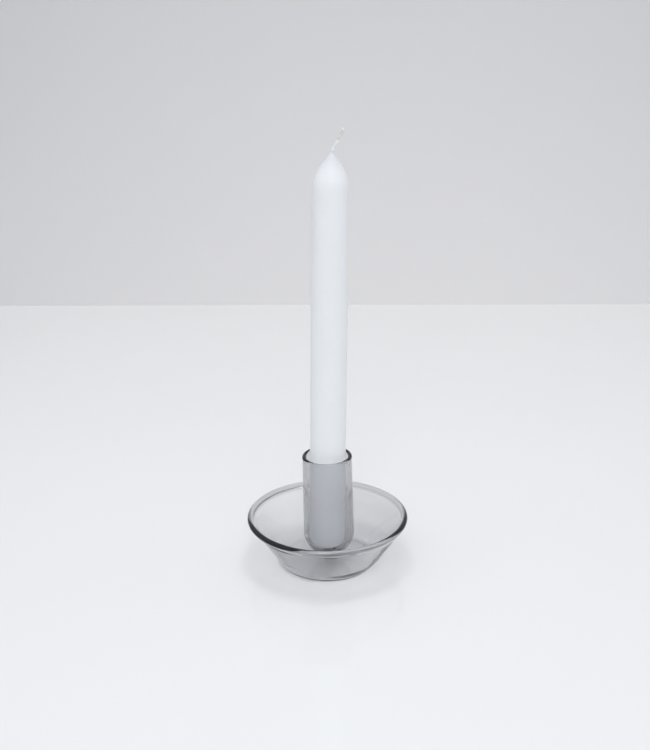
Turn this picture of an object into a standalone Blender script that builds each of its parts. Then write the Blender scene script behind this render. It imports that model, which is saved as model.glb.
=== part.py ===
"""Glass candlestick with a dinner candle.

A smoke-grey glass saucer carries a round-bottomed glass tube, flame-welded to the
middle of its floor. A plain dinner candle stands loose in the tube and lifts out
along its own axis. All sizes are in metres, +Z is up, and the origin is the centre
of the saucer's flat underside.
"""

import math

import bmesh
import bpy
from mathutils import Matrix, Vector

MM = 0.001

# Saucer
DISH_RIM_RADIUS = 50.0 * MM
DISH_HEIGHT = 31.6 * MM
DISH_BASE_RADIUS = 31.0 * MM
DISH_GLASS = 1.6 * MM  # thickness of floor and wall
DISH_CORNER_RADIUS = 2.5 * MM  # where the floor turns up, on the glass's middle line
DISH_BEAD_RADIUS = 1.75 * MM  # fire-polished rim, thicker than the wall
DISH_BEAD_BLEND = 3.2 * MM  # length over which the wall swells into the bead

# Tube that holds the candle
TUBE_BALL_RADIUS = 15.75 * MM  # outside of the round bottom
TUBE_NECK_RADIUS = 15.2 * MM  # outside just under the rim
TUBE_GLASS = 2.2 * MM
TUBE_TOP = 71.8 * MM
TUBE_BEAD_RADIUS = 1.28 * MM
TUBE_BEAD_BLEND = 2.5 * MM
TUBE_BALL_HEIGHT = 20.0 * MM  # centre of the round bottom above the table
TUBE_OFFSET = 0.9 * MM  # the tube was set down this far off the saucer's centre
TUBE_LEAN = math.radians(-1.0)  # and leans this much, about its round bottom

# Glass weld between the tube's round bottom and the saucer's floor
WELD_FOOT_RADIUS = 6.0 * MM
WELD_NECK_RADIUS = 4.2 * MM

# Candle, loose in the tube
CANDLE_RADIUS = 11.0 * MM
CANDLE_FOOT = 12.3 * MM  # height of its flat end above the table
CANDLE_FOOT_ROUND = 3.0 * MM
CANDLE_TIP = 257.8 * MM
CANDLE_POINT_LENGTH = 7.9 * MM  # how fast the pointed end reaches full width
CANDLE_POINT_POWER = 1.22
CANDLE_COLLAR = 0.25 * MM  # wax left round the wick at the very tip
CANDLE_DRAW_LENGTH = 70.0 * MM  # slight narrowing towards the tip, left by the dipping
CANDLE_DRAW = 0.5 * MM
CANDLE_OFFSET = -0.2 * MM  # where its axis passes at the height of the tube's ball
CANDLE_LEAN = math.radians(0.8)  # about that point, the other way than the tube

# Braided wick, whole length of the candle
WICK_RADIUS = 0.65 * MM
WICK_FREE_POINTS = (  # free end above the wax, in millimetres, (across, back, up)
    (0.0, 0.0, 0.9),
    (0.4, 0.0, 1.9),
    (1.9, 0.1, 3.8),
    (3.3, 0.2, 5.4),
    (4.0, 0.2, 6.7),
    (4.8, 0.1, 9.0),
    (5.6, 0.0, 11.2),
    (6.3, -0.1, 13.3),
)

FIT_GAP = 0.3 * MM  # between faces that touch on the real object
TURNS = {"dish": 72, "tube": 56, "weld": 48, "candle": 48}  # facets round each turned piece


def polar(centre, radius, angle):
    """Point at an angle from +r towards +z round a centre in the (r, z) half plane."""
    return Vector((centre[0] + radius * math.cos(angle), centre[1] + radius * math.sin(angle)))


def arc(centre, radius, start, end, steps):
    """Points along an arc in the (r, z) half plane, both ends included."""
    return [polar(centre, radius, start + (end - start) * i / steps) for i in range(steps + 1)]


def smooth(t):
    """0 below 0, 1 above 1, and an even ramp between."""
    t = min(max(t, 0.0), 1.0)
    return t * t * (3 - 2 * t)


def shell(middle, half_glass, bead_radius, bead_blend, cap_steps):
    """Closed outline of blown glass along a middle line whose end is the rim.

    The line is offset to both sides by half the glass, swelling to the bead's radius
    over the last stretch, and the rim is closed with a round cap.
    """
    lengths = [0.0]
    for a, b in zip(middle, middle[1:]):
        lengths.append(lengths[-1] + (b - a).length)
    outer, inner = [], []
    for i, point in enumerate(middle):
        ahead = middle[min(i + 1, len(middle) - 1)]
        behind = middle[max(i - 1, 0)]
        along = (ahead - behind).normalized()
        out = Vector((along.y, -along.x))
        swell = smooth(1 - (lengths[-1] - lengths[i]) / bead_blend)
        half = half_glass + (bead_radius - half_glass) * swell
        outer.append(point + out * half)
        inner.append(point - out * half)
    out_angle = math.atan2(out.y, out.x)
    cap = arc(middle[-1], bead_radius, out_angle, out_angle + math.pi, cap_steps)
    return outer + cap[1:-1] + inner[::-1]


def refine_end(points, stretch, steps):
    """The same line with its last stretch cut into even steps."""
    total = sum((b - a).length for a, b in zip(points, points[1:]))
    kept, walked = [points[0]], 0.0
    for a, b in zip(points, points[1:]):
        step = (b - a).length
        if walked + step > total - stretch:
            break
        walked += step
        kept.append(b)
    end = points[-1]
    start = kept[-1]
    return kept + [start.lerp(end, (i + 1) / steps) for i in range(steps)]


def turned(name, profile, turns, material, closed=False):
    """Object made by turning an (r, z) profile about Z.

    An open profile starts and ends on the axis. A closed one is a ring.
    """
    mesh_builder = bmesh.new()
    points = [mesh_builder.verts.new((p[0], 0.0, p[1])) for p in profile]
    pairs = list(zip(points, points[1:]))
    if closed:
        pairs.append((points[-1], points[0]))
    edges = [mesh_builder.edges.new(pair) for pair in pairs]
    bmesh.ops.spin(
        mesh_builder,
        geom=points + edges,
        cent=(0, 0, 0),
        axis=(0, 0, 1),
        angle=math.tau,
        steps=turns,
        use_merge=True,
    )
    bmesh.ops.remove_doubles(mesh_builder, verts=mesh_builder.verts, dist=1e-7)
    bmesh.ops.recalc_face_normals(mesh_builder, faces=mesh_builder.faces)
    mesh = bpy.data.meshes.new(name)
    mesh_builder.to_mesh(mesh)
    mesh_builder.free()
    mesh.shade_smooth()
    mesh.set_sharp_from_angle(angle=math.radians(40))
    made = bpy.data.objects.new(name, mesh)
    bpy.context.scene.collection.objects.link(made)
    mesh.materials.append(material)
    return made


def material(name, colour, roughness, transmission=0.0, ior=1.5):
    """Principled material with the given finish."""
    made = bpy.data.materials.new(name)
    made.use_nodes = True
    shader = made.node_tree.nodes["Principled BSDF"]
    shader.inputs["Base Color"].default_value = (*colour, 1.0)
    shader.inputs["Roughness"].default_value = roughness
    shader.inputs["Metallic"].default_value = 0.0
    shader.inputs["Transmission Weight"].default_value = transmission
    shader.inputs["IOR"].default_value = ior
    made.diffuse_color = (*colour, 1.0)
    return made


def empty(name, location, lean):
    """Empty that carries pieces which lean about +Y."""
    made = bpy.data.objects.new(name, None)
    made.location = location
    made.rotation_euler = (0.0, lean, 0.0)
    bpy.context.scene.collection.objects.link(made)
    return made


def dish_middle_line():
    """Middle of the saucer's glass: flat floor, round corner, then a flaring wall."""
    half = DISH_GLASS / 2
    centre = Vector((DISH_BASE_RADIUS - half - DISH_CORNER_RADIUS, half + DISH_CORNER_RADIUS))
    rim = Vector((DISH_RIM_RADIUS - DISH_BEAD_RADIUS, DISH_HEIGHT - DISH_BEAD_RADIUS))
    to_rim = rim - centre
    # The straight wall leaves the corner along its tangent through the rim.
    slope = math.atan2(to_rim.y, to_rim.x) + math.asin(DISH_CORNER_RADIUS / to_rim.length)
    corner = arc(centre, DISH_CORNER_RADIUS, -math.pi / 2, slope - math.pi / 2, 6)
    floor = [Vector((0.0, half)), Vector((WELD_FOOT_RADIUS, half))]
    wall = [corner[-1].lerp(rim, i / 3) for i in range(1, 4)]
    return floor + corner + refine_end([corner[-1]] + wall, DISH_BEAD_BLEND, 5)[1:]


def build_dish(glass):
    """The saucer."""
    middle = dish_middle_line()
    outline = shell(middle, DISH_GLASS / 2, DISH_BEAD_RADIUS, DISH_BEAD_BLEND, 10)
    outline[0].x = outline[-1].x = 0.0
    return turned("dish", outline, TURNS["dish"], glass)


def build_tube(glass):
    """Round-bottomed tube with a fire-polished rim, drawn about its ball's centre."""
    half = TUBE_GLASS / 2
    ball = arc((0.0, 0.0), TUBE_BALL_RADIUS - half, -math.pi / 2, 0.0, 12)
    rim = Vector((TUBE_NECK_RADIUS - half, TUBE_TOP - TUBE_BEAD_RADIUS - TUBE_BALL_HEIGHT))
    middle = ball + refine_end([ball[-1], rim], TUBE_BEAD_BLEND, 5)[1:]
    outline = shell(middle, half, TUBE_BEAD_RADIUS, TUBE_BEAD_BLEND, 8)
    outline[0].x = outline[-1].x = 0.0
    return turned("candle_tube", outline, TURNS["tube"], glass)


def build_weld(glass):
    """Button of glass that joins the tube's round bottom to the saucer's floor."""
    foot = DISH_GLASS + FIT_GAP
    ball_radius = TUBE_BALL_RADIUS + FIT_GAP
    neck_angle = -math.acos(WELD_NECK_RADIUS / ball_radius)
    neck = polar((0.0, TUBE_BALL_HEIGHT), ball_radius, neck_angle)
    seat = arc((0.0, TUBE_BALL_HEIGHT), ball_radius, neck_angle, -math.pi / 2, 6)
    edge = Vector((WELD_FOOT_RADIUS, foot))
    waist = Vector((neck.x, foot + FIT_GAP))
    side_steps = 5
    side = []
    for i in range(side_steps + 1):
        t = i / side_steps
        side.append(edge.lerp(waist, t).lerp(waist.lerp(neck, t), t))
    outline = [Vector((0.0, foot))] + side + seat[1:]
    outline[-1].x = 0.0
    return turned("glass_weld", outline, TURNS["weld"], glass)


def candle_radius(below_tip):
    """Radius of the wax this far below the tip."""
    full = CANDLE_RADIUS - CANDLE_DRAW * (1 - smooth(below_tip / CANDLE_DRAW_LENGTH))
    rise = (below_tip / CANDLE_POINT_LENGTH) ** CANDLE_POINT_POWER
    collar = WICK_RADIUS + FIT_GAP + CANDLE_COLLAR
    return max(full * (1 - math.exp(-rise)), collar)


def build_candle(wax):
    """Wax body with a channel for the wick, drawn about its axis at ball height."""
    base = CANDLE_FOOT - TUBE_BALL_HEIGHT
    tip = CANDLE_TIP - TUBE_BALL_HEIGHT
    channel = WICK_RADIUS + FIT_GAP
    foot_centre = (CANDLE_RADIUS - CANDLE_FOOT_ROUND, base + CANDLE_FOOT_ROUND)
    outline = [Vector((channel, base))]
    outline += arc(foot_centre, CANDLE_FOOT_ROUND, -math.pi / 2, 0.0, 5)
    rings = 15  # drawn closer together where the point curves most
    for i in range(rings, -1, -1):
        below_tip = CANDLE_DRAW_LENGTH * (i / rings) ** 1.9
        outline.append(Vector((candle_radius(below_tip), tip - below_tip)))
    outline.append(Vector((channel, tip)))
    return turned("candle_wax", outline, TURNS["candle"], wax, closed=True)


def build_wick(cotton):
    """Wick as one length of cord, straight inside the wax and bent where it is free."""
    start = CANDLE_FOOT - TUBE_BALL_HEIGHT + 2 * FIT_GAP
    tip = CANDLE_TIP - TUBE_BALL_HEIGHT
    straight = 6
    points = [Vector((0.0, 0.0, start + (tip - start) * i / straight)) for i in range(straight)]
    points += [Vector((x * MM, y * MM, tip + z * MM)) for x, y, z in WICK_FREE_POINTS]
    line = bpy.data.curves.new("wick", "CURVE")
    line.dimensions = "3D"
    spline = line.splines.new("POLY")
    spline.points.add(len(points) - 1)
    for place, point in zip(spline.points, points):
        place.co = (*point, 1.0)
    line.bevel_depth = WICK_RADIUS
    line.bevel_resolution = 2
    line.use_fill_caps = True
    line.materials.append(cotton)
    made = bpy.data.objects.new("wick", line)
    bpy.context.scene.collection.objects.link(made)
    return made


def carry(parent, *pieces):
    """Parents pieces drawn about the empty's own origin."""
    for piece in pieces:
        piece.parent = parent
        piece.matrix_parent_inverse = Matrix.Identity(4)


def main():
    for old in list(bpy.data.objects):
        bpy.data.objects.remove(old, do_unlink=True)
    glass = material("smoke_glass", (0.62, 0.64, 0.68), 0.02, transmission=1.0, ior=1.47)
    wax = material("white_wax", (0.86, 0.87, 0.88), 0.42)
    cotton = material("wick_cotton", (0.80, 0.79, 0.72), 0.9)

    build_dish(glass)
    weld = build_weld(glass)
    weld.location = (TUBE_OFFSET, 0.0, 0.0)

    tube_seat = empty("tube_axis", (TUBE_OFFSET, 0.0, TUBE_BALL_HEIGHT), TUBE_LEAN)
    carry(tube_seat, build_tube(glass))

    candle_axis = empty("candle_axis", (CANDLE_OFFSET, 0.0, TUBE_BALL_HEIGHT), CANDLE_LEAN)
    carry(candle_axis, build_candle(wax), build_wick(cotton))


main()
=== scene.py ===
"""Smoke-glass candlestick with a plain dinner candle, dressed around its CAD frame.

The saucer, the candle tube and the weld between them are one fused body of blown
glass. The candle and its braided wick stand loose in the tube. Sizes are in metres.
"""

import logging
import math
from dataclasses import dataclass
from enum import Enum
from typing import Sequence

import bmesh
import bpy
from mathutils import Matrix, Vector


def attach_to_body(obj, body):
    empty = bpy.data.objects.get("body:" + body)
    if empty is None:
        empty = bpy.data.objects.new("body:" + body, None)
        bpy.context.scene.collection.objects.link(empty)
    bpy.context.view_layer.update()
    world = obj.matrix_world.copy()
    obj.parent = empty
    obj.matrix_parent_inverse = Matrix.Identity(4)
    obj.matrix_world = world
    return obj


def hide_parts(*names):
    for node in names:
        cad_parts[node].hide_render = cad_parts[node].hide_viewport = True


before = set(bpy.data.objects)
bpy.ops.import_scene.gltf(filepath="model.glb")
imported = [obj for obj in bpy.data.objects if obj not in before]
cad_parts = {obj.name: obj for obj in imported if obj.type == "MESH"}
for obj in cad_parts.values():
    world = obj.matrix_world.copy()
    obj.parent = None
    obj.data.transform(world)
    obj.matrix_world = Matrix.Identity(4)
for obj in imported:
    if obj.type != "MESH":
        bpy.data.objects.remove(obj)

MM = 0.001
MERGE_REACH = 1e-7
GOLDEN_ANGLE = 2.39996
GOLDEN_SHARE = 0.618
log = logging.getLogger("candlestick")


class Body(Enum):
    """Rigid bodies of the CAD frame."""

    HOLDER = "holder"
    CANDLE = "candle"


class Slot(Enum):
    """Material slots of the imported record."""

    GLASS = "smoke_glass"
    WAX = "white_wax"
    COTTON = "wick_cotton"


class Node(Enum):
    """CAD nodes that finer pieces stand for."""

    DISH = "dish"
    TUBE = "candle_tube"
    WELD = "glass_weld"
    WAX = "candle_wax"
    WICK = "wick"


# ---------------------------------------------------------------------------
# Node helpers
# ---------------------------------------------------------------------------


@dataclass
class NodeBoard:
    """A node tree with short ways to add and join nodes."""

    tree: bpy.types.NodeTree

    def add(self, kind: str, **values: object) -> bpy.types.Node:
        """Adds a node.

        Args:
            kind: Blender's node type name.
            values: Node properties, or input values by name with _ for a space.

        Returns:
            The new node.
        """
        node = self.tree.nodes.new(kind)
        for name, value in values.items():
            if hasattr(node, name):
                setattr(node, name, value)
            else:
                node.inputs[name.replace("_", " ")].default_value = value
        return node

    def join(self, source: bpy.types.NodeSocket, target: bpy.types.NodeSocket) -> None:
        """Links one output to one input."""
        self.tree.links.new(source, target)

    def maths(self, operation: str, *terms: object) -> bpy.types.NodeSocket:
        """Adds a Math node.

        Args:
            operation: The Math node's operation.
            terms: Sockets or plain numbers, one for each input.

        Returns:
            The node's output.
        """
        node = self.add("ShaderNodeMath", operation=operation)
        for place, term in zip(node.inputs, terms):
            if isinstance(term, bpy.types.NodeSocket):
                self.join(term, place)
            else:
                place.default_value = term
        return node.outputs[0]


@dataclass(frozen=True)
class MottleGroup:
    """Shared effect: soft uneven patches over a finer grain.

    Puts out Tone, a mask from 0 to 1 for colours and roughness, and Height for bumps.
    """

    name: str = "soft_mottle"
    darkest: float = 0.3
    lightest: float = 0.7

    def tree(self) -> bpy.types.NodeTree:
        """Builds the group, or finds it when it is already there.

        Returns:
            The group's node tree.
        """
        made = bpy.data.node_groups.get(self.name)
        if made is not None:
            return made
        made = bpy.data.node_groups.new(self.name, "ShaderNodeTree")
        face = made.interface
        face.new_socket("Vector", in_out="INPUT", socket_type="NodeSocketVector")
        for label, start in (("Patch Scale", 40.0), ("Grain Scale", 900.0), ("Grain", 0.3)):
            socket = face.new_socket(label, in_out="INPUT", socket_type="NodeSocketFloat")
            socket.default_value = start
        face.new_socket("Tone", in_out="OUTPUT", socket_type="NodeSocketFloat")
        face.new_socket("Height", in_out="OUTPUT", socket_type="NodeSocketFloat")
        board = NodeBoard(made)
        inlet = board.add("NodeGroupInput")
        outlet = board.add("NodeGroupOutput")
        patches = board.add("ShaderNodeTexNoise", Detail=3.0, Roughness=0.55)
        grain = board.add("ShaderNodeTexNoise", Detail=5.0, Roughness=0.6)
        for texture, scale in ((patches, "Patch Scale"), (grain, "Grain Scale")):
            board.join(inlet.outputs["Vector"], texture.inputs["Vector"])
            board.join(inlet.outputs[scale], texture.inputs["Scale"])
        blend = board.add("ShaderNodeMix", data_type="FLOAT")
        board.join(inlet.outputs["Grain"], blend.inputs[0])
        board.join(patches.outputs[0], blend.inputs[2])
        board.join(grain.outputs[0], blend.inputs[3])
        spread = board.add("ShaderNodeMapRange")
        spread.inputs["From Min"].default_value = self.darkest
        spread.inputs["From Max"].default_value = self.lightest
        board.join(blend.outputs[0], spread.inputs["Value"])
        board.join(spread.outputs[0], outlet.inputs["Tone"])
        board.join(blend.outputs[0], outlet.inputs["Height"])
        return made


@dataclass
class FinishBoard(NodeBoard):
    """The node tree of one new material, with its Principled shader."""

    material: bpy.types.Material
    shader: bpy.types.Node
    outlet: bpy.types.Node

    @classmethod
    def start(cls, name: str) -> "FinishBoard":
        """Makes a material with a Principled shader.

        Args:
            name: The material's name.

        Returns:
            Its board.
        """
        material = bpy.data.materials.new(name)
        material.use_nodes = True
        tree = material.node_tree
        shader = tree.nodes["Principled BSDF"]
        outlet = tree.nodes["Material Output"]
        return cls(tree=tree, material=material, shader=shader, outlet=outlet)

    def set(self, **values: object) -> None:
        """Sets plain values on the Principled shader's own sockets."""
        for name, value in values.items():
            self.shader.inputs[name.replace("_", " ")].default_value = value

    def place(self) -> bpy.types.NodeSocket:
        """Returns the Object coordinates of the piece."""
        return self.add("ShaderNodeTexCoord").outputs["Object"]

    def mottle(self, vector: bpy.types.NodeSocket, **sizes: float) -> bpy.types.Node:
        """Adds the shared mottle group.

        Args:
            vector: Coordinates to read it at.
            sizes: Its input values by name, with _ for a space.

        Returns:
            The group node.
        """
        node = self.add("ShaderNodeGroup")
        node.node_tree = MottleGroup().tree()
        self.join(vector, node.inputs["Vector"])
        for name, value in sizes.items():
            node.inputs[name.replace("_", " ")].default_value = value
        return node

    def tint(
        self,
        mask: bpy.types.NodeSocket,
        low: tuple[float, float, float],
        high: tuple[float, float, float],
    ) -> bpy.types.Node:
        """Drives the base colour between two colours.

        Args:
            mask: Value from 0 to 1.
            low: Colour where the mask is 0.
            high: Colour where the mask is 1.

        Returns:
            The Mix node, whose input 6 is the low colour and whose output 2 is the blend.
        """
        mix = self.add("ShaderNodeMix", data_type="RGBA")
        mix.inputs[6].default_value = (*low, 1.0)
        mix.inputs[7].default_value = (*high, 1.0)
        self.join(mask, mix.inputs[0])
        self.join(mix.outputs[2], self.shader.inputs["Base Color"])
        return mix

    def roughen(self, mask: bpy.types.NodeSocket, low: float, high: float) -> None:
        """Drives Roughness between two values.

        Args:
            mask: Value from 0 to 1.
            low: Roughness where the mask is 0.
            high: Roughness where the mask is 1.
        """
        spread = self.add("ShaderNodeMapRange")
        spread.inputs["To Min"].default_value = low
        spread.inputs["To Max"].default_value = high
        self.join(mask, spread.inputs["Value"])
        self.join(spread.outputs[0], self.shader.inputs["Roughness"])

    def bump(self, height: bpy.types.NodeSocket, depth: float) -> None:
        """Feeds the shader's Normal from a height.

        Args:
            height: Height from 0 to 1.
            depth: What a height of 1 stands for, in metres.
        """
        node = self.add("ShaderNodeBump", Distance=depth)
        self.join(height, node.inputs["Height"])
        self.join(node.outputs[0], self.shader.inputs["Normal"])


# ---------------------------------------------------------------------------
# Finishes
# ---------------------------------------------------------------------------


@dataclass(frozen=True)
class SmokeGlass:
    """Clear blown glass, smoke grey through its thickness, with faint turning rings.

    The rings drift a little from side to side and are seen on the saucer only, where
    they fade in between the radii rings_from and rings_full.
    """

    name: str = "smoke_glass"
    ior: float = 1.48
    density: float = 133.0
    passes: tuple[float, float, float] = (0.20, 0.20, 0.24)
    ring_pitch: float = 2.1 * MM
    ring_depth: float = 0.016 * MM
    ring_drift: float = 0.06
    rings_from: float = 19.0 * MM
    rings_full: float = 34.0 * MM
    polish: tuple[float, float] = (0.0, 0.012)

    def material(self) -> bpy.types.Material:
        """Makes the glass, tinted by plain absorption inside it.

        Returns:
            The material.
        """
        board = FinishBoard.start(self.name)
        board.set(
            Base_Color=(1.0, 1.0, 1.0, 1.0),
            Transmission_Weight=1.0,
            Metallic=0.0,
            IOR=self.ior,
        )
        place = board.place()
        mottle = board.mottle(place, Patch_Scale=60.0, Grain_Scale=1500.0, Grain=0.15)
        board.roughen(mottle.outputs["Tone"], *self.polish)
        board.bump(self.rings(board, place), self.ring_depth)
        smoke = board.add("ShaderNodeVolumeAbsorption", Density=self.density)
        smoke.inputs["Color"].default_value = (*self.passes, 1.0)
        board.join(smoke.outputs[0], board.outlet.inputs["Volume"])
        return board.material

    def rings(
        self, board: FinishBoard, place: bpy.types.NodeSocket
    ) -> bpy.types.NodeSocket:
        """Height of the rings that turning leaves round the saucer, fading out inwards.

        Args:
            board: The glass's node board.
            place: Object coordinates.

        Returns:
            A height from about 0 to 1.
        """
        split = board.add("ShaderNodeSeparateXYZ")
        board.join(place, split.inputs[0])
        flat = board.add("ShaderNodeCombineXYZ")
        board.join(split.outputs[0], flat.inputs[0])
        board.join(split.outputs[1], flat.inputs[1])
        across = board.add("ShaderNodeVectorMath", operation="LENGTH")
        board.join(flat.outputs[0], across.inputs[0])
        drift = board.maths("MULTIPLY", split.outputs[0], self.ring_drift)
        level = board.add("ShaderNodeCombineXYZ")
        board.join(across.outputs["Value"], level.inputs[0])
        board.join(drift, level.inputs[1])
        board.join(split.outputs[2], level.inputs[2])
        noise = board.add("ShaderNodeTexNoise", Detail=2.0, Roughness=0.5)
        noise.inputs["Scale"].default_value = 1.0 / self.ring_pitch
        board.join(level.outputs[0], noise.inputs["Vector"])
        where = board.add("ShaderNodeMapRange", interpolation_type="SMOOTHSTEP")
        where.inputs["From Min"].default_value = self.rings_from
        where.inputs["From Max"].default_value = self.rings_full
        board.join(across.outputs["Value"], where.inputs["Value"])
        return board.maths("MULTIPLY", noise.outputs[0], where.outputs[0])


@dataclass(frozen=True)
class DinnerWax:
    """White candle wax: satin, faintly translucent, with soft uneven patches.

    Towards the point its colour turns greyer, which is painted shade.
    """

    name: str = "white_wax"
    # colour of the painted shade at the point
    tip_shade: tuple[float, float, float] = (0.68, 0.68, 0.695)
    point_height: float = 257.8 * MM
    tip_shade_length: float = 16.0 * MM
    light: tuple[float, float, float] = (0.88, 0.885, 0.895)
    dim: tuple[float, float, float] = (0.85, 0.855, 0.865)
    glow: float = 0.35
    glow_depth: float = 3.0 * MM
    glow_share: tuple[float, float, float] = (1.0, 0.9, 0.8)
    ior: float = 1.44
    satin: tuple[float, float] = (0.38, 0.52)
    dent_depth: float = 0.05 * MM

    def material(self) -> bpy.types.Material:
        """Makes the wax, dimmer in patches and with painted shade greying it towards the point.

        Returns:
            The material.
        """
        board = FinishBoard.start(self.name)
        board.set(
            Subsurface_Weight=self.glow,
            Subsurface_Radius=self.glow_share,
            Subsurface_Scale=self.glow_depth,
            IOR=self.ior,
        )
        place = board.place()
        mottle = board.mottle(place, Patch_Scale=55.0, Grain_Scale=1400.0, Grain=0.25)
        patches = board.tint(mottle.outputs["Tone"], self.dim, self.light)
        # painted shade: the colour greys over the last stretch below the point
        split = board.add("ShaderNodeSeparateXYZ")
        board.join(place, split.inputs[0])
        tip_shading = board.add("ShaderNodeMapRange", interpolation_type="SMOOTHSTEP")
        tip_shading.inputs["From Min"].default_value = self.point_height - self.tip_shade_length
        tip_shading.inputs["From Max"].default_value = self.point_height
        board.join(split.outputs[2], tip_shading.inputs["Value"])
        tip_shaded = board.tint(tip_shading.outputs[0], self.light, self.tip_shade)
        board.join(patches.outputs[2], tip_shaded.inputs[6])
        board.roughen(mottle.outputs["Tone"], *self.satin)
        board.bump(mottle.outputs["Height"], self.dent_depth)
        return board.material


@dataclass(frozen=True)
class WickCotton:
    """Undyed cotton, lightly waxed, with shade between its fibres."""

    name: str = "wick_cotton"
    light: tuple[float, float, float] = (0.88, 0.88, 0.85)
    dim: tuple[float, float, float] = (0.57, 0.56, 0.51)
    sheen: float = 0.3
    sheen_spread: float = 0.5
    fuzz: tuple[float, float] = (0.75, 0.95)
    fibre_depth: float = 0.08 * MM

    def material(self) -> bpy.types.Material:
        """Makes the cotton, with fibres as a bump.

        Returns:
            The material.
        """
        board = FinishBoard.start(self.name)
        board.set(Sheen_Weight=self.sheen, Sheen_Roughness=self.sheen_spread)
        mottle = board.mottle(board.place(), Patch_Scale=900.0, Grain_Scale=6000.0, Grain=0.5)
        board.tint(mottle.outputs["Tone"], self.dim, self.light)
        board.roughen(mottle.outputs["Tone"], *self.fuzz)
        board.bump(mottle.outputs["Height"], self.fibre_depth)
        return board.material


@dataclass(frozen=True)
class GlossBoard:
    """Glossy white board that the candlestick stands on."""

    name: str = "table_white"
    tone: tuple[float, float, float] = (0.805, 0.795, 0.785)
    wear: float = 0.985
    ior: float = 1.5
    gloss: tuple[float, float] = (0.03, 0.05)

    def material(self) -> bpy.types.Material:
        """Makes the board's finish, very faintly worn in patches.

        Returns:
            The material.
        """
        board = FinishBoard.start(self.name)
        board.set(IOR=self.ior)
        mottle = board.mottle(board.place(), Patch_Scale=6.0, Grain_Scale=300.0, Grain=0.3)
        worn = tuple(value * self.wear for value in self.tone)
        board.tint(mottle.outputs["Tone"], worn, self.tone)
        board.roughen(mottle.outputs["Tone"], *self.gloss)
        return board.material


@dataclass(frozen=True)
class PaintedWall:
    """Pale matt wall behind the table, seen from its front only.

    Painted shade greys it from the skirting upwards, sooner to the left and at both ends.
    """

    name: str = "wall_pale"
    tone: tuple[float, float, float] = (0.825, 0.803, 0.80)
    # colour of the painted shade high up, to the left and at both ends
    painted_shade: tuple[float, float, float] = (0.61, 0.596, 0.60)
    shade_height: float = 0.45
    shade_slant: float = 0.12
    shade_bow: float = 0.7
    mottle_reach: float = 0.02
    roughness: float = 0.9

    def material(self) -> bpy.types.Material:
        """Makes the wall's finish with its painted shade, clear from behind.

        Returns:
            The material.
        """
        board = FinishBoard.start(self.name)
        board.set(Roughness=self.roughness)
        place = board.place()
        mottle = board.mottle(place, Patch_Scale=5.0, Grain_Scale=400.0, Grain=0.3)
        split = board.add("ShaderNodeSeparateXYZ")
        board.join(place, split.inputs[0])
        across = split.outputs[0]
        # painted shade: the colour greys upwards, sooner to the left and towards both ends
        bow = board.maths("MULTIPLY", board.maths("MULTIPLY", across, across), self.shade_bow)
        slant = board.maths("MULTIPLY_ADD", across, -self.shade_slant, split.outputs[2])
        rise = board.maths("ADD", slant, bow)
        patchy = board.maths("MULTIPLY_ADD", mottle.outputs["Tone"], self.mottle_reach, rise)
        share = board.maths("DIVIDE", patchy, self.shade_height)
        board.tint(share, self.tone, self.painted_shade)
        clear = board.add("ShaderNodeBsdfTransparent")
        side = board.add("ShaderNodeNewGeometry")
        mix = board.add("ShaderNodeMixShader")
        board.join(side.outputs["Backfacing"], mix.inputs[0])
        board.join(board.shader.outputs[0], mix.inputs[1])
        board.join(clear.outputs[0], mix.inputs[2])
        board.join(mix.outputs[0], board.outlet.inputs["Surface"])
        return board.material


# ---------------------------------------------------------------------------
# Modelling helpers
# ---------------------------------------------------------------------------


class ProfilePen:
    """Draws an outline in the half plane of radius and height, then turns it round.

    Lines come from extruding the last point, and arcs from spinning it about a centre.
    """

    def __init__(self, radius: float, height: float) -> None:
        """Starts the outline.

        Args:
            radius: First point's distance from the axis.
            height: First point's height.
        """
        self.mesh = bmesh.new()
        self.tip = bmesh.ops.create_vert(self.mesh, co=(radius, 0.0, height))["vert"][0]

    def line_to(self, radius: float, height: float, pieces: int) -> None:
        """Draws a straight line.

        Args:
            radius: End point's distance from the axis.
            height: End point's height.
            pieces: How many equal steps it is cut into.
        """
        step = (Vector((radius, 0.0, height)) - self.tip.co) / pieces
        for _ in range(pieces):
            grown = bmesh.ops.extrude_vert_indiv(self.mesh, verts=[self.tip])
            self.tip = grown["verts"][0]
            bmesh.ops.translate(self.mesh, verts=[self.tip], vec=step)

    def arc_about(self, centre: Vector, angle: float, pieces: int) -> None:
        """Draws an arc.

        Args:
            centre: Centre of the arc, (radius, height).
            angle: Turn in radians, anticlockwise with the axis on the left.
            pieces: How many equal steps it is cut into.
        """
        grown = bmesh.ops.spin(
            self.mesh,
            geom=[self.tip],
            cent=(centre.x, 0.0, centre.y),
            axis=(0.0, -1.0, 0.0),
            angle=angle,
            steps=pieces,
        )
        ends = [item for item in grown["geom_last"] if isinstance(item, bmesh.types.BMVert)]
        self.tip = ends[0]

    def turn(self, steps: int) -> bmesh.types.BMesh:
        """Turns the outline round the upright axis into a closed skin.

        Args:
            steps: Facets round the axis.

        Returns:
            The finished mesh, with its normals pointing out.
        """
        bmesh.ops.spin(
            self.mesh,
            geom=list(self.mesh.verts) + list(self.mesh.edges),
            cent=(0.0, 0.0, 0.0),
            axis=(0.0, 0.0, 1.0),
            angle=math.tau,
            steps=steps,
            use_merge=True,
        )
        bmesh.ops.remove_doubles(self.mesh, verts=self.mesh.verts, dist=MERGE_REACH)
        bmesh.ops.recalc_face_normals(self.mesh, faces=self.mesh.faces)
        return self.mesh


def eased(share: float) -> float:
    """Returns a share between 0 and 1, smoothed so that it starts and ends gently."""
    share = min(max(share, 0.0), 1.0)
    return share * share * (3.0 - 2.0 * share)


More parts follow.
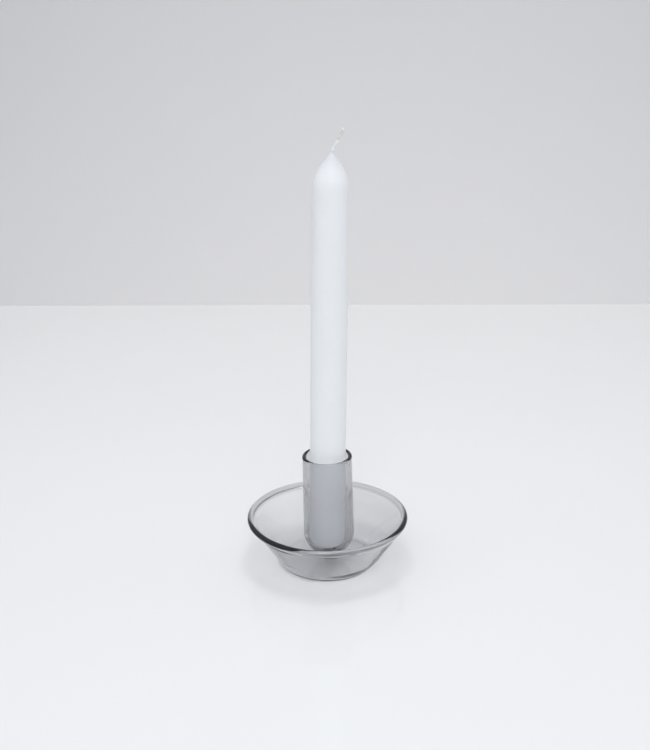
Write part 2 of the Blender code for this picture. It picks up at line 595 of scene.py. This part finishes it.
def lean_about(x: float, height: float, angle: float) -> Matrix:
    """Turns about a level axis through a point on the middle plane.

    Args:
        x: The point's place across.
        height: The point's height.
        angle: Lean to the right, in radians.

    Returns:
        The transform, from an upright axis through the origin to the leaning one.
    """
    return (
        Matrix.Translation((x, 0.0, height))
        @ Matrix.Rotation(angle, 4, "Y")
        @ Matrix.Translation((0.0, 0.0, -height))
    )


def finished_object(
    name: str, mesh: bmesh.types.BMesh, finish: bpy.types.Material, crease: float = 50.0
) -> bpy.types.Object:
    """Makes a bmesh into a smooth-shaded object at the origin.

    Args:
        name: Name of the piece.
        mesh: Its mesh, which is freed.
        finish: Its material.
        crease: Edges sharper than this many degrees stay sharp.

    Returns:
        The object.
    """
    data = bpy.data.meshes.new(name)
    mesh.to_mesh(data)
    mesh.free()
    data.shade_smooth()
    data.set_sharp_from_angle(angle=math.radians(crease))
    data.materials.append(finish)
    made = bpy.data.objects.new(name, data)
    bpy.context.scene.collection.objects.link(made)
    return made


def attach(piece: bpy.types.Object, body: Body, slot: Slot, *nodes: Node) -> None:
    """Rides a piece on a body, in place of CAD nodes, and reports it.

    Args:
        piece: The finished piece.
        body: The body it moves with.
        slot: The record's material slot; not used.
        nodes: CAD nodes it stands for.
    """
    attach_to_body(piece, body.value)
    if nodes:
        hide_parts(*(node.value for node in nodes))
    log.info("%s: %d faces on %s", piece.name, len(piece.data.polygons), body.value)


# ---------------------------------------------------------------------------
# Sub-assemblies
# ---------------------------------------------------------------------------


@dataclass
class GlassHolder:
    """Saucer, weld and candle tube, fused into one body of glass.

    The saucer's wall was drawn by hand. It is thick on two opposite sides, thin between
    them, and slipped a little sideways under its rim.
    """

    glass: float = 1.6 * MM
    uneven: float = 0.43
    slip: float = 0.9 * MM
    slip_side: float = math.radians(-26.0)
    thick_side: float = math.radians(40.0)
    tube_glass: float = 2.25 * MM
    base_radius: float = 31.0 * MM
    corner_radius: float = 2.5 * MM
    rim_radius: float = 50.0 * MM
    rim_height: float = 31.6 * MM
    rim_bead: float = 1.75 * MM
    rim_fillet: float = 6.0 * MM
    ball_radius: float = 15.75 * MM
    ball_height: float = 20.0 * MM
    neck_radius: float = 15.2 * MM
    tube_top: float = 71.8 * MM
    tube_bead: float = 1.28 * MM
    tube_fillet: float = 8.0 * MM
    weld_fillet: float = 1.8 * MM
    tube_offset: float = 0.9 * MM
    tube_lean: float = math.radians(-1.0)
    tube_zone: float = 22.75 * MM
    lean_blend: float = 2.5 * MM
    turns: int = 192
    wall_steps: int = 24
    fillet_steps: int = 6
    bead_steps: int = 40
    ball_steps: int = 30

    def bead(
        self,
        pen: ProfilePen,
        centre: Vector,
        along: Vector,
        radius: float,
        fillet: float,
        glass: float,
    ) -> None:
        """Draws a fire-polished rim: a wall swells into a round bead and comes back.

        Args:
            pen: The pen, on the wall's outer face.
            centre: Centre of the bead.
            along: Direction of the wall's middle line towards the rim.
            radius: Radius of the bead.
            fillet: Radius of the hollow between wall and bead.
            glass: Thickness of the wall.
        """
        half = glass / 2
        out = Vector((along.y, -along.x))
        run = math.sqrt((fillet + radius) ** 2 - (fillet + half) ** 2)
        swing = math.asin(run / (fillet + radius))
        start = centre - along * run
        pen.line_to(*(start + out * half), pieces=self.wall_steps)
        pen.arc_about(start + out * (half + fillet), -swing, self.fillet_steps)
        pen.arc_about(centre, math.pi + 2 * swing, self.bead_steps)
        pen.arc_about(start - out * (half + fillet), -swing, self.fillet_steps)

    def outline(self) -> ProfilePen:
        """Draws the fused outline, as if the tube stood upright in the middle.

        Returns:
            The pen, with the whole outline drawn.
        """
        pen = ProfilePen(0.0, 0.0)
        self.draw_saucer(pen)
        self.draw_weld(pen)
        self.draw_tube(pen)
        return pen

    def draw_saucer(self, pen: ProfilePen) -> None:
        """Draws from the middle of the underside, over the rim, to the floor inside.

        Args:
            pen: The pen, on the axis at the underside.
        """
        half = self.glass / 2
        corner = self.corner()
        wall = self.wall()
        slope = math.atan2(wall.y, wall.x)
        pen.line_to(corner.x, 0.0, pieces=6)
        pen.arc_about(corner, slope, pieces=14)
        self.bead(pen, self.rim(), wall, self.rim_bead, self.rim_fillet, self.glass)
        out = Vector((wall.y, -wall.x))
        pen.line_to(*(corner + out * (self.corner_radius - half)), pieces=self.wall_steps)
        pen.arc_about(corner, -slope, pieces=10)

    def draw_weld(self, pen: ProfilePen) -> None:
        """Draws along the floor, up the weld and round the outside of the tube's ball.

        Args:
            pen: The pen, at the outer edge of the floor inside.
        """
        hub_height = self.glass + self.weld_fillet
        drop = self.ball_height - hub_height
        reach_out = self.ball_radius + self.weld_fillet
        hub = Vector((math.sqrt(reach_out**2 - drop**2), hub_height))
        climb = math.asin(drop / reach_out)
        pen.line_to(hub.x, self.glass, pieces=4)
        pen.arc_about(hub, -(math.pi / 2 + climb), pieces=16)
        pen.arc_about(Vector((0.0, self.ball_height)), climb, self.ball_steps)

    def draw_tube(self, pen: ProfilePen) -> None:
        """Draws up the tube, over its rim and down inside to the axis.

        Args:
            pen: The pen, where the ball is widest.
        """
        half = self.tube_glass / 2
        top = Vector((self.neck_radius - half, self.tube_top - self.tube_bead))
        up = (top - Vector((self.ball_radius - half, self.ball_height))).normalized()
        self.bead(pen, top, up, self.tube_bead, self.tube_fillet, self.tube_glass)
        pen.line_to(self.ball_radius - self.tube_glass, self.ball_height, pieces=10)
        pen.arc_about(Vector((0.0, self.ball_height)), -math.pi / 2, self.ball_steps)

    def rim(self) -> Vector:
        """Returns the centre of the saucer's rim bead, (radius, height)."""
        return Vector((self.rim_radius - self.rim_bead, self.rim_height - self.rim_bead))

    def corner(self) -> Vector:
        """Returns the centre of the round between the saucer's floor and its wall."""
        outer = self.corner_radius + self.glass / 2
        return Vector((self.base_radius - outer, outer))

    def wall(self) -> Vector:
        """Works out which way the saucer's wall runs.

        Returns:
            The direction from its foot to its rim, (radius, height).
        """
        reach = self.rim() - self.corner()
        slope = math.atan2(reach.y, reach.x) + math.asin(self.corner_radius / reach.length)
        return Vector((math.cos(slope), math.sin(slope)))

    def redraw_wall(self, point: Vector) -> Vector:
        """Moves a point of the saucer's wall to where the uneven wall has it.

        Args:
            point: A point of the even glass.

        Returns:
            The same point, nearer to the wall's middle or further from it.
        """
        turn = math.atan2(point.y, point.x)
        wall = self.wall()
        out = Vector((wall.y, -wall.x))
        place = Vector((math.hypot(point.x, point.y), point.z)) - self.rim()
        below = -place.dot(wall)
        reach = (self.rim() - self.corner()).length
        share = eased(below / self.rim_fillet) * eased((reach - below) / self.rim_fillet)
        swell = self.uneven * math.cos(2.0 * (turn - self.thick_side))
        slip = self.slip * math.cos(turn - self.slip_side)
        shift = out * (place.dot(out) * swell + slip) * share
        return point + Vector((math.cos(turn) * shift.x, math.sin(turn) * shift.x, shift.y))

    def build(self, finish: bpy.types.Material) -> bpy.types.Object:
        """Builds the glass and sets the tube where it leans.

        Args:
            finish: The glass.

        Returns:
            The piece.
        """
        mesh = self.outline().turn(self.turns)
        lean = lean_about(self.tube_offset, self.ball_height, self.tube_lean)
        for vert in mesh.verts:
            if math.hypot(vert.co.x, vert.co.y) < self.tube_zone and vert.co.z > self.glass:
                share = eased((vert.co.z - self.glass) / self.lean_blend)
                vert.co = vert.co.lerp(lean @ vert.co, share)
            else:
                vert.co = self.redraw_wall(vert.co)
        return finished_object("glass_holder", mesh, finish, crease=60.0)

    def dress(self) -> None:
        """Builds the glass body in place of its three CAD nodes."""
        piece = self.build(SmokeGlass().material())
        attach(piece, Body.HOLDER, Slot.GLASS, Node.DISH, Node.TUBE, Node.WELD)


@dataclass
class DinnerCandle:
    """Pointed dinner candle, standing loose in the tube."""

    radius: float = 11.0 * MM
    foot: float = 12.3 * MM
    foot_round: float = 3.0 * MM
    tip: float = 257.8 * MM
    neck_radius: float = 10.45 * MM
    neck_drop: float = 22.7 * MM
    point_curve: float = 28.4 * MM
    point_slope: float = math.radians(38.0)
    tip_radius: float = 0.75 * MM
    offset: float = -0.2 * MM
    pivot_height: float = 20.0 * MM
    lean: float = math.radians(0.8)
    nod: float = 0.9 * MM
    nod_length: float = 30.0 * MM
    narrowing: float = 75.0 * MM
    smoothed: float = 90.0 * MM
    flat: float = 0.4 * MM
    turns: int = 96

    def axis(self) -> Matrix:
        """Returns the transform from an upright candle to the leaning one."""
        return lean_about(self.offset, self.pivot_height, self.lean)

    def nodded(self, point: Vector) -> Vector:
        """Bends a point near the tip a little to the right, then leans it.

        Args:
            point: A point of the upright candle or of its wick.

        Returns:
            Its place in the leaning candle.
        """
        share = eased(1.0 - (self.tip - point.z) / self.nod_length)
        bent = point + Vector((self.nod * share, 0.0, 0.0))
        return self.axis() @ bent

    def build(self, finish: bpy.types.Material) -> bpy.types.Object:
        """Builds the wax body.

        Args:
            finish: The wax.

        Returns:
            The piece.
        """
        pen = ProfilePen(0.0, self.foot)
        round_centre = Vector((self.radius - self.foot_round, self.foot + self.foot_round))
        neck_height = self.tip - self.neck_drop
        pen.line_to(round_centre.x, self.foot, pieces=4)
        pen.arc_about(round_centre, math.pi / 2, pieces=10)
        pen.line_to(self.radius, self.tip - self.narrowing, pieces=24)
        pen.line_to(self.neck_radius, neck_height, pieces=10)
        point_centre = Vector((self.neck_radius - self.point_curve, neck_height))
        pen.arc_about(point_centre, self.point_slope, pieces=24)
        pen.line_to(self.tip_radius, self.tip - self.flat, pieces=8)
        pen.line_to(0.0, self.tip, pieces=2)
        mesh = pen.turn(self.turns)
        bmesh.ops.smooth_vert(
            mesh,
            verts=[vert for vert in mesh.verts if vert.co.z > self.tip - self.smoothed],
            factor=0.5,
            use_axis_x=True,
            use_axis_y=True,
            use_axis_z=False,
        )
        for vert in mesh.verts:
            vert.co = self.nodded(vert.co)
        return finished_object("candle_body", mesh, finish, crease=60.0)

    def dress(self) -> None:
        """Builds the wax body in place of its CAD node."""
        piece = self.build(DinnerWax().material())
        attach(piece, Body.CANDLE, Slot.WAX, Node.WAX)


@dataclass
class BraidedWick:
    """Free end of the braided wick: three strands, waxed below the kink and loose above.

    free_end holds points above the candle's tip and coat the wax along the wick, as
    lengths walked from its root with radii. Both are in millimetres. fibre_lengths and
    fibre_curls are each a mean and a swing, as shares of fibre_reach and of the length.
    """

    candle: DinnerCandle
    strand_radius: float = 0.27 * MM
    braid_radius: float = 0.27 * MM
    loosening: float = 1.0
    loosening_length: float = 1.5 * MM
    fraying: float = 0.35
    frays_after: float = 4.5 * MM
    fraying_length: float = 3.0 * MM
    thickest: float = 1.9
    kink_at: float = 11.0 * MM
    pitch: float = 4.2 * MM
    root_depth: float = 4.0 * MM
    fibres: int = 48
    fibre_radius: float = 0.035 * MM
    fibre_reach: float = 0.7 * MM
    fibre_shares: Sequence[float] = (0.0, 0.35, 0.7, 1.0)
    fibre_gather: float = 1.3
    fibre_taper: float = 0.5
    fibre_lengths: tuple[float, float] = (0.6, 0.4)
    fibre_curls: tuple[float, float] = (0.8, 0.5)
    curl_turn: float = 1.7
    steps_between: int = 8
    free_end: Sequence[tuple[float, float, float]] = (
        (0.0, 0.0, 0.3),
        (0.05, 0.0, 1.4),
        (0.75, 0.05, 2.7),
        (1.7, 0.15, 4.2),
        (2.6, 0.2, 5.6),
        (3.2, 0.2, 6.6),
        (3.8, 0.15, 8.0),
        (4.6, 0.1, 9.8),
        (5.5, 0.0, 11.5),
        (6.15, -0.1, 12.8),
    )
    bare_radius: float = 0.5
    coat: Sequence[tuple[float, float]] = (
        (3.6, 0.30),
        (4.2, 0.55),
        (5.0, 0.80),
        (5.7, 0.74),
        (6.4, 0.52),
        (7.5, 0.46),
        (9.4, 0.47),
        (10.2, 0.60),
        (10.9, 0.85),
        (11.5, 0.74),
        (12.0, 0.42),
        (12.3, 0.20),
    )

    def centreline(self) -> list[Vector]:
        """Fills the wick's path in with points close together.

        Returns:
            Points along the middle of the wick, from its root to its end.
        """
        root = Vector((0.0, 0.0, self.candle.tip - self.root_depth))
        path = [root] + [
            Vector((x * MM, y * MM, self.candle.tip + z * MM)) for x, y, z in self.free_end
        ]
        dense = []
        steps = self.steps_between
        for here, ahead in zip(path, path[1:]):
            dense += [here.lerp(ahead, i / steps) for i in range(steps)]
        return dense + [path[-1]]

    def around(self) -> list[tuple[float, Vector, Vector, Vector]]:
        """Works out which ways point out of the wick along its centreline.

        Returns:
            Rows of length walked, point, side and other side.
        """
        line = self.centreline()
        rows = []
        walked = 0.0
        for i, point in enumerate(line):
            if i:
                walked += (point - line[i - 1]).length
            ahead = (line[min(i + 1, len(line) - 1)] - line[max(i - 1, 0)]).normalized()
            side = ahead.cross(Vector((0.0, 1.0, 0.0))).normalized()
            rows.append((walked, point, side, ahead.cross(side)))
        return rows

    def looseness(self, walked: float) -> float:
        """Works out how far the braid has opened.

        Args:
            walked: Length from the wick's root.

        Returns:
            How many times as wide as below the kink it is.
        """
        above = walked - self.kink_at
        opened = eased(above / self.loosening_length)
        frayed = eased((above - self.frays_after) / self.fraying_length)
        return 1.0 + self.loosening * opened + self.fraying * frayed

    def strand(self, turn: float) -> list[tuple[Vector, float]]:
        """Places one strand, wound about the centreline.

        Args:
            turn: Where round the centreline it starts, in radians.

        Returns:
            Its points, each with a thickness.
        """
        points = []
        for walked, point, side, other in self.around():
            angle = turn + math.tau * walked / self.pitch
            loose = self.looseness(walked)
            offset = side * math.cos(angle) + other * math.sin(angle)
            place = point + offset * self.braid_radius * loose
            points.append((place, min(loose, self.thickest)))
        return points

    def fibre(self, index: int) -> list[tuple[Vector, float]]:
        """Places one loose fibre that curls out of the upper braid.

        Args:
            index: Its number, which sets its place and direction.

        Returns:
            Its points, each with a thickness.
        """
        rows = [row for row in self.around() if row[0] > self.kink_at]
        rows = [row for row in rows if row[0] < rows[-1][0] - self.fibre_reach]
        share = (index * GOLDEN_SHARE) % 1.0
        _, point, side, other = rows[int((1.0 - share**self.fibre_gather) * (len(rows) - 1))]
        turn = GOLDEN_ANGLE * index
        out = side * math.cos(turn) + other * math.sin(turn)
        up = side.cross(other).normalized()
        mean, swing = self.fibre_lengths
        reach = self.fibre_reach * (mean + swing * math.sin(index))
        mean, swing = self.fibre_curls
        curl = up * (reach * (mean + swing * math.cos(self.curl_turn * index)))
        start = point + out * self.braid_radius
        line = []
        for along in self.fibre_shares:
            place = start + out * reach * along + curl * along * along
            line.append((place, 1.0 - self.fibre_taper * along))
        return line

    def mesh_of(
        self, lines: Sequence[list[tuple[Vector, float]]], radius: float, roundness: int
    ) -> bmesh.types.BMesh:
        """Turns lines of points into closed round cords.

        Args:
            lines: Points with thicknesses, one list for each cord.
            radius: Radius where the thickness is 1.
            roundness: Bevel resolution: each step adds two facets to a cord's four.

        Returns:
            One mesh of all the cords, in the candle's place.
        """
        curve = bpy.data.curves.new("cord", "CURVE")
        curve.dimensions = "3D"
        curve.bevel_depth = radius
        curve.bevel_resolution = roundness
        curve.use_fill_caps = True
        for line in lines:
            spline = curve.splines.new("NURBS")
            spline.points.add(len(line) - 1)
            for place, (point, thickness) in zip(spline.points, line):
                place.co = (*point, 1.0)
                place.radius = thickness
            spline.use_endpoint_u = True
            spline.order_u = 4
            spline.resolution_u = 3
        holder = bpy.data.objects.new("cord", curve)
        bpy.context.scene.collection.objects.link(holder)
        bpy.context.view_layer.update()
        shape = holder.evaluated_get(bpy.context.evaluated_depsgraph_get())
        data = bpy.data.meshes.new_from_object(shape)
        mesh = bmesh.new()
        mesh.from_mesh(data)
        bpy.data.objects.remove(holder)
        bpy.data.meshes.remove(data)
        bpy.data.curves.remove(curve)
        bmesh.ops.remove_doubles(mesh, verts=mesh.verts, dist=MERGE_REACH)
        bmesh.ops.recalc_face_normals(mesh, faces=mesh.faces)
        for vert in mesh.verts:
            vert.co = self.candle.nodded(vert.co)
        return mesh

    def build_coat(self, finish: bpy.types.Material) -> bpy.types.Object:
        """Builds the wax that ran up the wick: a drop at its root and one at the kink.

        Args:
            finish: The wax.

        Returns:
            The piece.
        """
        rows = self.around()
        line = []
        for length, radius in self.coat:
            _, point, side, _ = min(rows, key=lambda row: abs(row[0] - length * MM))
            bulge = max(0.0, radius - self.bare_radius) * MM
            line.append((point - side * bulge, radius))
        return finished_object("wick_wax_coat", self.mesh_of([line], MM, roundness=6), finish)

    def dress(self) -> None:
        """Builds the wick in place of its CAD node, its loose fibres and its wax coat."""
        cotton = WickCotton().material()
        strands = [self.strand(i * math.tau / 3) for i in range(3)]
        braid = self.mesh_of(strands, self.strand_radius, roundness=3)
        attach(finished_object("braided_wick", braid, cotton), Body.CANDLE, Slot.COTTON, Node.WICK)
        loose = [self.fibre(i) for i in range(self.fibres)]
        fluff = self.mesh_of(loose, self.fibre_radius, roundness=0)
        attach(finished_object("wick_fibres", fluff, cotton), Body.CANDLE, Slot.COTTON)
        attach(self.build_coat(bpy.data.materials[DinnerWax.name]), Body.CANDLE, Slot.WAX)


# ---------------------------------------------------------------------------
# Stage
# ---------------------------------------------------------------------------


@dataclass(frozen=True)
class SoftLamp:
    """Soft rectangular lamp.

    Its size is width and height, and its power is in watts. Gloss shows the lamp itself
    only where it is mirrored.
    """

    name: str
    place: tuple[float, float, float]
    target: tuple[float, float, float]
    size: tuple[float, float]
    power: float
    mirrored: bool = False

    def hang(self) -> None:
        """Hangs the lamp so that it faces its target."""
        data = bpy.data.lights.new(self.name, "AREA")
        data.shape = "RECTANGLE"
        data.size, data.size_y = self.size
        data.energy = self.power
        made = bpy.data.objects.new(self.name, data)
        made.location = self.place
        made.visible_glossy = self.mirrored
        aim = Vector(self.target) - Vector(self.place)
        made.rotation_euler = aim.to_track_quat("-Z", "Y").to_euler()
        bpy.context.scene.collection.objects.link(made)


@dataclass
class Studio:
    """Table, wall, soft lights, pale dome of light and camera."""

    table_half_width: float = 0.85
    table_front: float = -0.95
    table_gap: float = 0.05 * MM
    wall_distance: float = 0.5365
    wall_skew: float = 0.01635
    wall_height: float = 0.75
    aim: tuple[float, float, float] = (-0.86 * MM, 0.0, 124.29 * MM)
    distance: float = 0.7218
    pitch: float = math.radians(20.72)
    roll: float = math.radians(-0.43)
    lens: float = 57.88
    sensor: float = 36.0
    sky: tuple[float, float, float] = (0.89, 0.94, 1.0)
    horizon: float = 0.50
    zenith: float = 0.98
    lamps: tuple[SoftLamp, ...] = (
        SoftLamp("top_softbox", (0.02, 0.08, 1.3), (0.0, 0.0, 0.0), (0.6, 0.6), 4.9),
        SoftLamp("front_fill", (0.2, -1.7, 0.55), (0.0, 0.0, 0.15), (1.4, 0.8), 3.6),
        SoftLamp(
            "front_strip", (-0.03, -0.95, 0.95), (0.0, 0.0, 0.04), (0.42, 0.11), 1.9, mirrored=True
        ),
    )

    def sheet(self, name: str, corners: Sequence[Vector], finish: bpy.types.Material) -> None:
        """Makes a flat stage sheet.

        Args:
            name: Name of the sheet.
            corners: Its four corners, anticlockwise from its front.
            finish: Its material.
        """
        mesh = bmesh.new()
        mesh.faces.new([mesh.verts.new(corner) for corner in corners])
        made = finished_object(name, mesh, finish)

    def set_up(self) -> None:
        """Puts up the table and the wall."""
        half = self.table_half_width
        low = -self.table_gap
        front = [Vector((x, self.table_front, low)) for x in (-half, half)]
        right, left = (
            Vector((x, self.wall_distance - self.wall_skew * x, low)) for x in (half, -half)
        )
        self.sheet("stage_table", [*front, right, left], GlossBoard().material())
        up = Vector((0.0, 0.0, self.wall_height))
        self.sheet("stage_wall", [left, right, right + up, left + up], PaintedWall().material())

    def light(self) -> None:
        """Hangs the lamps and makes the dome, which is brighter overhead."""
        for lamp in self.lamps:
            lamp.hang()
        world = bpy.data.worlds.new("room")
        world.use_nodes = True
        bpy.context.scene.world = world
        board = NodeBoard(world.node_tree)
        shade = world.node_tree.nodes["Background"]
        shade.inputs[0].default_value = (*self.sky, 1.0)
        split = board.add("ShaderNodeSeparateXYZ")
        board.join(board.add("ShaderNodeTexCoord").outputs["Generated"], split.inputs[0])
        rise = board.maths("MAXIMUM", split.outputs[2], 0.0)
        dome = board.maths("MULTIPLY_ADD", rise, self.zenith - self.horizon, self.horizon)
        board.join(dome, shade.inputs[1])

    def camera(self) -> None:
        """Sets the camera where the object was seen from."""
        back = Vector((0.0, -math.cos(self.pitch), math.sin(self.pitch)))
        data = bpy.data.cameras.new("camera")
        data.lens = self.lens
        data.sensor_width = self.sensor
        made = bpy.data.objects.new("camera", data)
        turn = (-back).to_track_quat("-Z", "Y").to_matrix().to_4x4()
        made.matrix_world = (
            Matrix.Translation(Vector(self.aim) + back * self.distance)
            @ turn
            @ Matrix.Rotation(self.roll, 4, "Z")
        )
        bpy.context.scene.collection.objects.link(made)
        bpy.context.scene.camera = made


def main() -> None:
    """Builds the studio and dresses the candlestick, piece by piece."""
    logging.basicConfig(level=logging.INFO, format="%(name)s: %(message)s")
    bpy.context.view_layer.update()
    studio = Studio()
    studio.camera()
    studio.set_up()
    studio.light()
    GlassHolder().dress()
    candle = DinnerCandle()
    candle.dress()
    BraidedWick(candle).dress()
    bpy.context.scene.view_settings.view_transform = "Standard"
    bpy.context.scene.cycles.blur_glossy = 0.0


if __name__ == "__main__":
    main()
